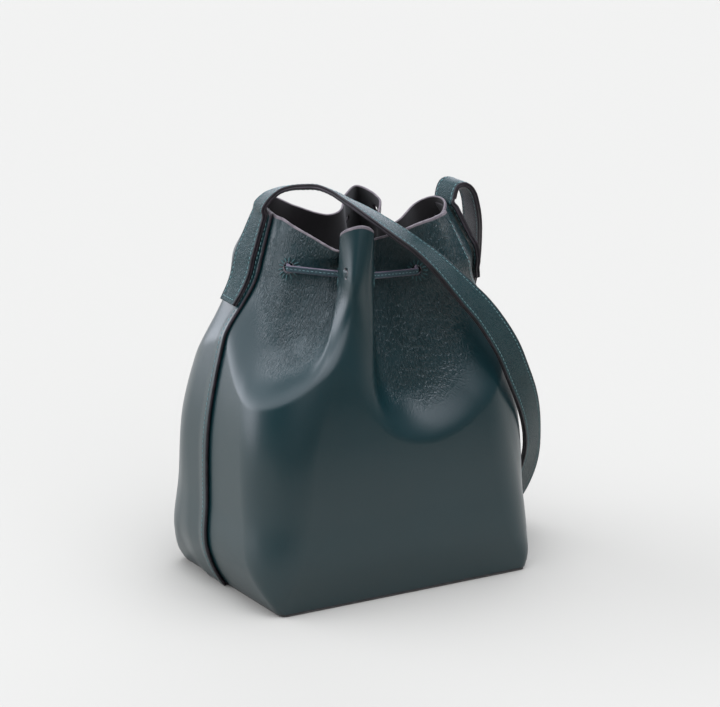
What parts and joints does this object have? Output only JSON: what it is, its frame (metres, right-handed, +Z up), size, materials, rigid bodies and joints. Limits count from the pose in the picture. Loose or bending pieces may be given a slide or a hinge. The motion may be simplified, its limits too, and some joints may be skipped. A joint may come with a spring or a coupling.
{
  "type": "bucket bag",
  "caption": "Small leather bucket bag with a rectangular stiffened base, a mouth gathered by a lace through stitched eyelets, and a long shoulder strap.",
  "frame": {"origin": "centre of the base's underside, on the surface the bag stands on", "axes": "+Z up; -Y towards the bag's front, the wide side without the lace ends; +X to the right for someone facing the front"},
  "size_m": [0.2376, 0.1554, 0.2615],
  "materials": {
    "body_leather": "smooth, satin",
    "strap_leather": "fine pebble grain, painted edges",
    "lace_leather": "smooth, stitched along the middle",
    "raw_leather": "unlined flesh side, matt",
    "thread": "waxed polyester thread",
    "board": "pressed fibreboard, hidden"
  },
  "bodies": {
    "bag": {"front_panel": "body_leather", "back_panel": "body_leather", "base_panel": "body_leather", "base_board": "board", "inner_base": "raw_leather", "strap_outer": "strap_leather", "strap_lining": "strap_leather", "left_strap_backing": "raw_leather", "right_strap_backing": "raw_leather", "drawstring": "lace_leather", "lace_end_left": "lace_leather", "lace_end_right": "lace_leather", "lace_knot_left": "lace_leather", "lace_knot_right": "lace_leather", "eyelet_stitching_1": "thread", "eyelet_stitching_2": "thread", "eyelet_stitching_3": "thread", "eyelet_stitching_4": "thread", "eyelet_stitching_5": "thread", "eyelet_stitching_6": "thread"},
    "slider": {"lace_slider": "strap_leather"}
  },
  "joints": [
    {"name": "lace_slide", "type": "slide", "parent": "bag", "child": "slider", "axis": [0, 0.1302, -0.9915], "range_m": [0, 0.04]}
  ]
}
